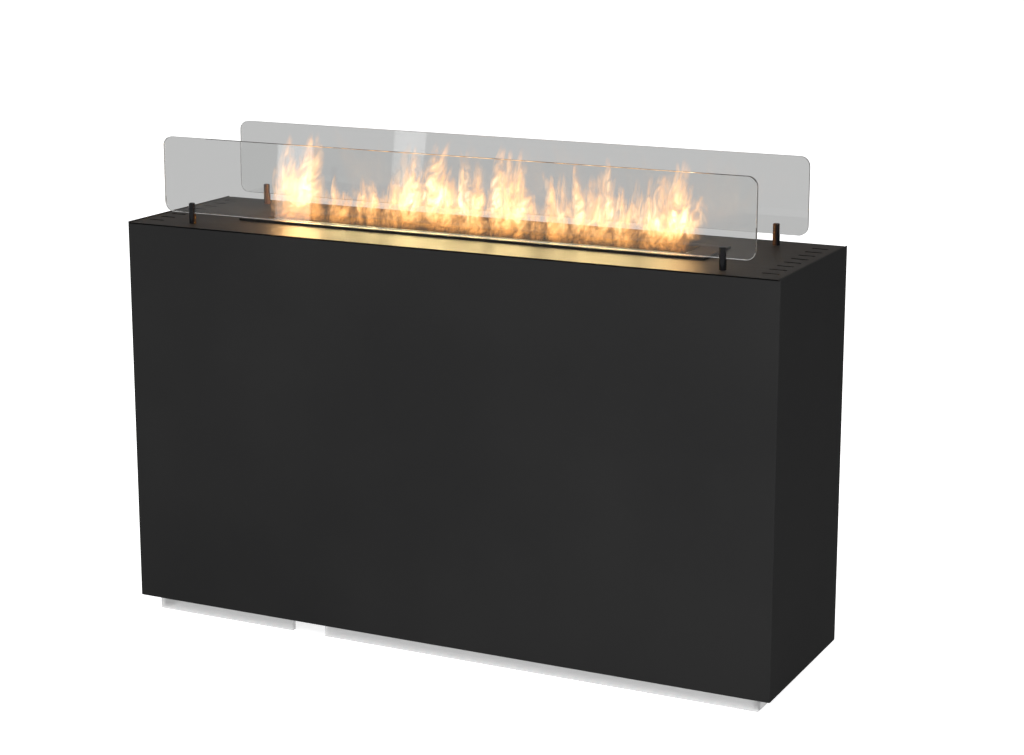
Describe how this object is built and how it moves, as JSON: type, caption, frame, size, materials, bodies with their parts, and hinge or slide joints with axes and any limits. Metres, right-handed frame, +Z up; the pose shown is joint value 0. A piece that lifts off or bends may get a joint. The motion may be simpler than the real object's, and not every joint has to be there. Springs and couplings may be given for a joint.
{
  "type": "bioethanol fireplace",
  "caption": "Free-standing slab fireplace: a dark steel cabinet on a recessed glass plinth, with a long burner let into its top between low glass screens on slotted posts.",
  "frame": {"origin": "on the floor, under the middle of the cabinet", "axes": "+X to the right along the front, +Y towards the back, +Z up; the front is the side with the paler plinth section"},
  "size_m": [1.1, 0.296, 0.787],
  "materials": {
    "black_paint": "satin dark grey-black powder coat",
    "satin_top": "satin dark coat that mirrors the fire softly",
    "burner_black": "satin black heat-resistant coat",
    "black_posts": "turned steel posts, satin black",
    "screen_glass": "clear toughened glass with ground edges",
    "frosted_plinth": "frosted glass strips with ground edges",
    "clear_plinth": "paler, clear glass section",
    "stainless_steel": "brushed stainless sheet, heat-toned near the slots",
    "ceramic_fleece": "off-white ceramic fibre fleece",
    "heat_pads": "black heat-proof pads",
    "zinc_screws": "zinc-plated screws and nuts",
    "galvanised_sheet": "bare galvanised sheet steel"
  },
  "bodies": {
    "cabinet": {"casing": "black_paint", "cross_member_1": "galvanised_sheet", "cross_member_2": "galvanised_sheet", "cross_member_3": "galvanised_sheet", "floor_pan": "galvanised_sheet", "front_left_post": "black_posts", "front_rail": "galvanised_sheet", "front_right_post": "black_posts", "front_top_angle": "galvanised_sheet", "glass_pads": "heat_pads", "heat_shield": "galvanised_sheet", "left_rear_angle": "galvanised_sheet", "plinth_clear_section": "clear_plinth", "plinth_front_left": "frosted_plinth", "plinth_front_right": "frosted_plinth", "plinth_left": "frosted_plinth", "plinth_rear": "frosted_plinth", "plinth_right": "frosted_plinth", "post_nuts": "zinc_screws", "rear_left_post": "black_posts", "rear_panel": "black_paint", "rear_panel_screws": "zinc_screws", "rear_rail": "galvanised_sheet", "rear_right_post": "black_posts", "rear_top_angle": "galvanised_sheet", "right_rear_angle": "galvanised_sheet", "spill_tray": "stainless_steel", "top_plate": "satin_top"},
    "burner": {"burner_rim": "burner_black", "fuel_tub": "stainless_steel", "slotted_deck": "stainless_steel", "regulator_guides": "stainless_steel", "fleece_left": "ceramic_fleece", "fleece_middle": "ceramic_fleece", "fleece_right": "ceramic_fleece"},
    "regulator": {"flame_regulator": "stainless_steel"},
    "front_screen": {"front_glass": "screen_glass"},
    "rear_screen": {"rear_glass": "screen_glass"}
  },
  "joints": [
    {"name": "burner_lift", "type": "slide", "parent": "cabinet", "child": "burner", "axis": [0, 0, 1], "range_m": [0, 0.1]},
    {"name": "regulator_slide", "type": "slide", "parent": "burner", "child": "regulator", "axis": [-1, 0, 0], "range_m": [0, 0.02]},
    {"name": "front_glass_lift", "type": "slide", "parent": "cabinet", "child": "front_screen", "axis": [0, 0, 1], "range_m": [0, 0.03]},
    {"name": "rear_glass_lift", "type": "slide", "parent": "cabinet", "child": "rear_screen", "axis": [0, 0, 1], "range_m": [0, 0.03]}
  ]
}
